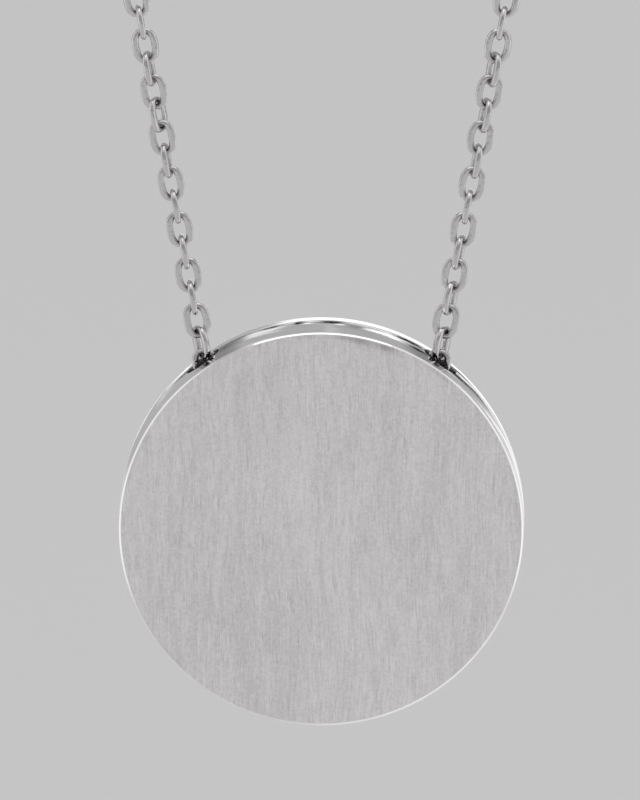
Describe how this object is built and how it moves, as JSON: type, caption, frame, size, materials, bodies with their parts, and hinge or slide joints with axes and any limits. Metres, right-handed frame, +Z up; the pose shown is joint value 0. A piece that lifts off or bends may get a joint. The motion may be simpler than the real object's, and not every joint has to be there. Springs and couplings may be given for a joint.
{
  "type": "disc pendant",
  "caption": "Hollow round disc pendant with a brushed face and polished rim, threaded through two holes on a fine cable chain that hangs as a closed loop.",
  "frame": {"origin": "middle of the top of the chain's loop, where the necklace hangs", "axes": "+Z up, the disc's brushed face looks along -Y, the loop of chain lies in the plane y = 0"},
  "size_m": [0.0694, 0.003, 0.2167],
  "materials": {
    "brushed_silver": "straight vertical brushing on the flat face, polished bevel and rim",
    "polished_silver": "mirror polish"
  },
  "bodies": {
    "chain": {"chain_front": "polished_silver", "chain_back": "polished_silver", "clasp": "polished_silver"},
    "pendant": {"disc": "brushed_silver"}
  },
  "joints": [
    {"name": "disc_swing", "type": "hinge", "parent": "chain", "child": "pendant", "pos_m": [0, 0, -0.20157], "axis": [1, 0, 0], "range_deg": [-30, 30]}
  ]
}
